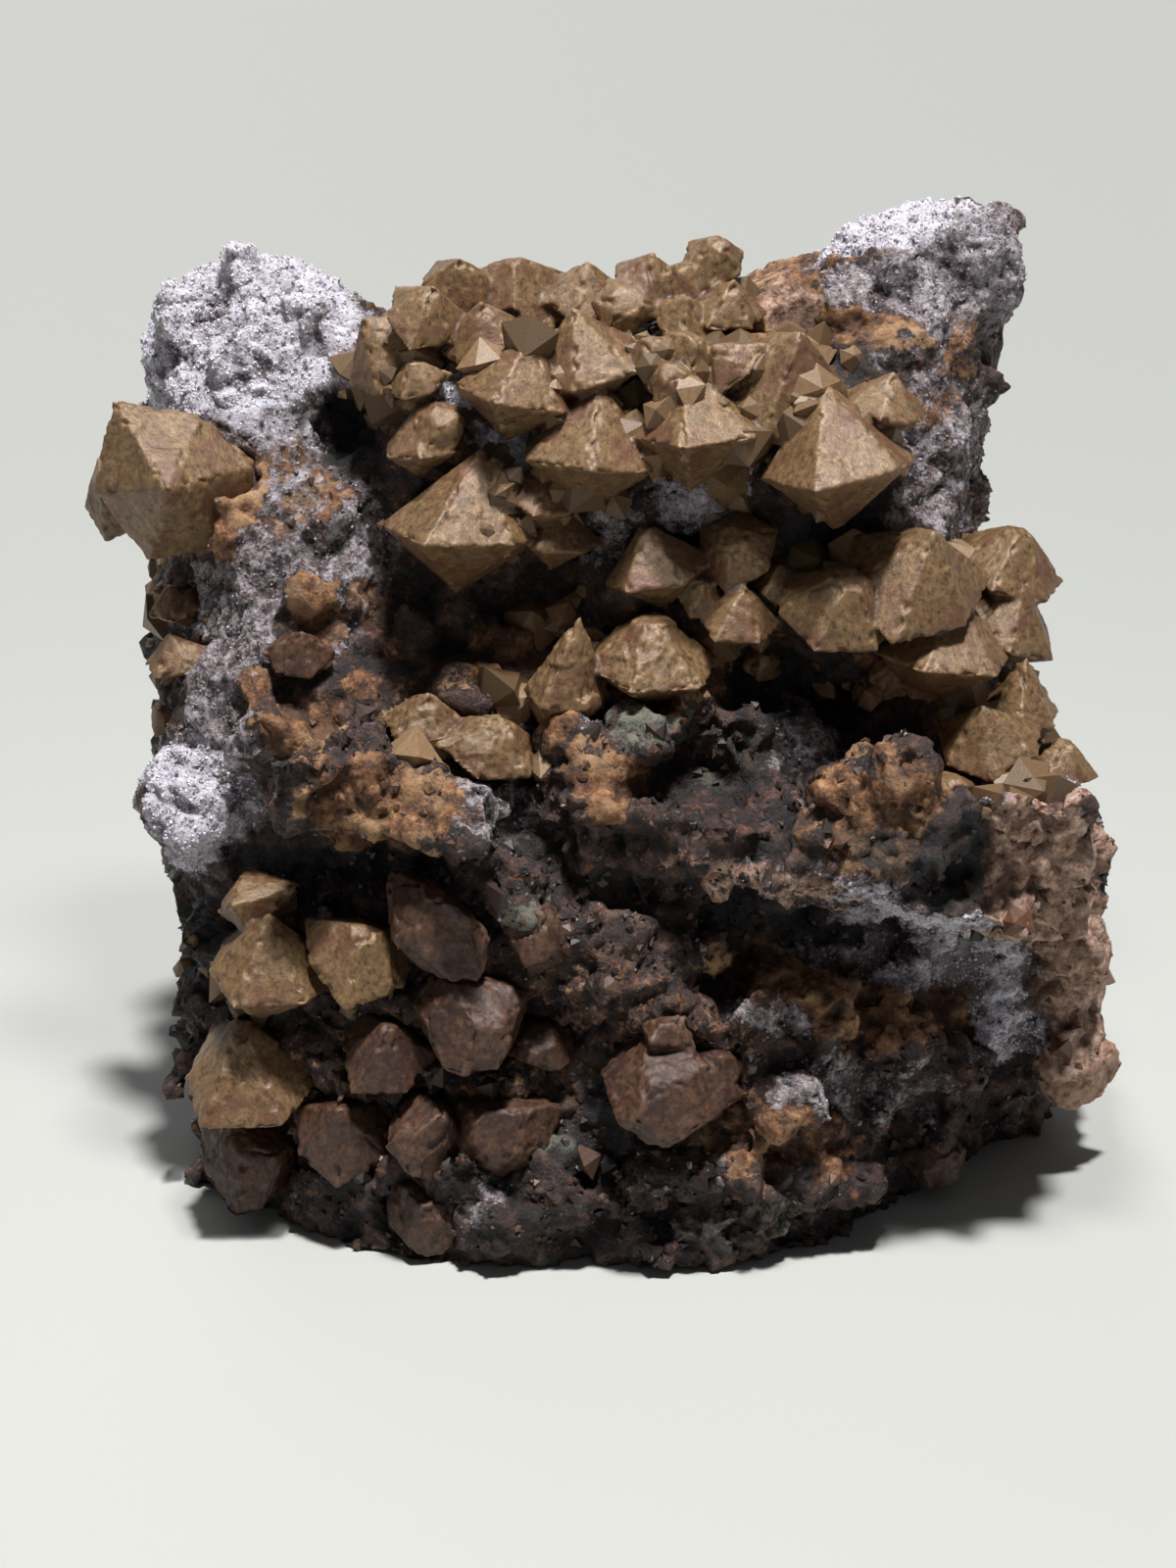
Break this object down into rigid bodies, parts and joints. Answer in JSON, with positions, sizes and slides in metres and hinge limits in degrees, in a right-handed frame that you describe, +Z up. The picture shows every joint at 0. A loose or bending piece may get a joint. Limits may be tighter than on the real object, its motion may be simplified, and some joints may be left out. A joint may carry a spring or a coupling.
{
  "type": "sturmanite specimen on matrix",
  "caption": "Lump of dark manganese rock with golden-brown hexagonal pyramid crystals crowded over its upper front, standing on a flat base.",
  "frame": {"origin": "middle of the outer box at its base", "axes": "+Z up, the crystal side faces -Y, +X to the right as the crystal side is seen"},
  "size_m": [0.0756, 0.0524, 0.0694],
  "materials": {
    "matrix_rock": "matt dark manganese rock with a grey-white sparkling crust",
    "gold_crystal": "dull satin golden-brown crystal faces",
    "brown_crystal": "matt weathered red-brown crystal"
  },
  "bodies": {
    "root": {"back_left_crystal": "gold_crystal", "broken_crystal": "gold_crystal", "brown_pyramid": "brown_crystal", "brown_table_crystal": "brown_crystal", "corner_crystal": "gold_crystal", "dark_pyramid": "brown_crystal", "dark_red_crystal": "brown_crystal", "edge_bud": "gold_crystal", "edge_crystal": "gold_crystal", "edge_lower_crystal": "gold_crystal", "edge_upper_crystal": "gold_crystal", "great_side_crystal": "gold_crystal", "left_bud": "gold_crystal", "low_corner_block": "brown_crystal", "low_rim_block": "brown_crystal", "lower_block": "brown_crystal", "lower_pair_crystal": "gold_crystal", "matrix": "matrix_rock", "middle_crystal": "gold_crystal", "pale_block_crystal": "gold_crystal", "plate_crystal": "brown_crystal", "red_brown_crystal": "brown_crystal", "red_lump_crystal": "brown_crystal", "right_knob": "brown_crystal", "right_low_knob": "brown_crystal", "right_upper_crystal": "gold_crystal", "rough_block": "brown_crystal", "rough_bud": "gold_crystal", "rough_crystal": "gold_crystal", "six_sided_crystal": "gold_crystal", "small_dark_block": "brown_crystal", "small_lower_crystal": "brown_crystal", "spindle_crystal": "gold_crystal", "tall_crystal": "gold_crystal", "top_crystals": "gold_crystal", "yellow_crystal": "gold_crystal"}
  },
  "joints": []
}
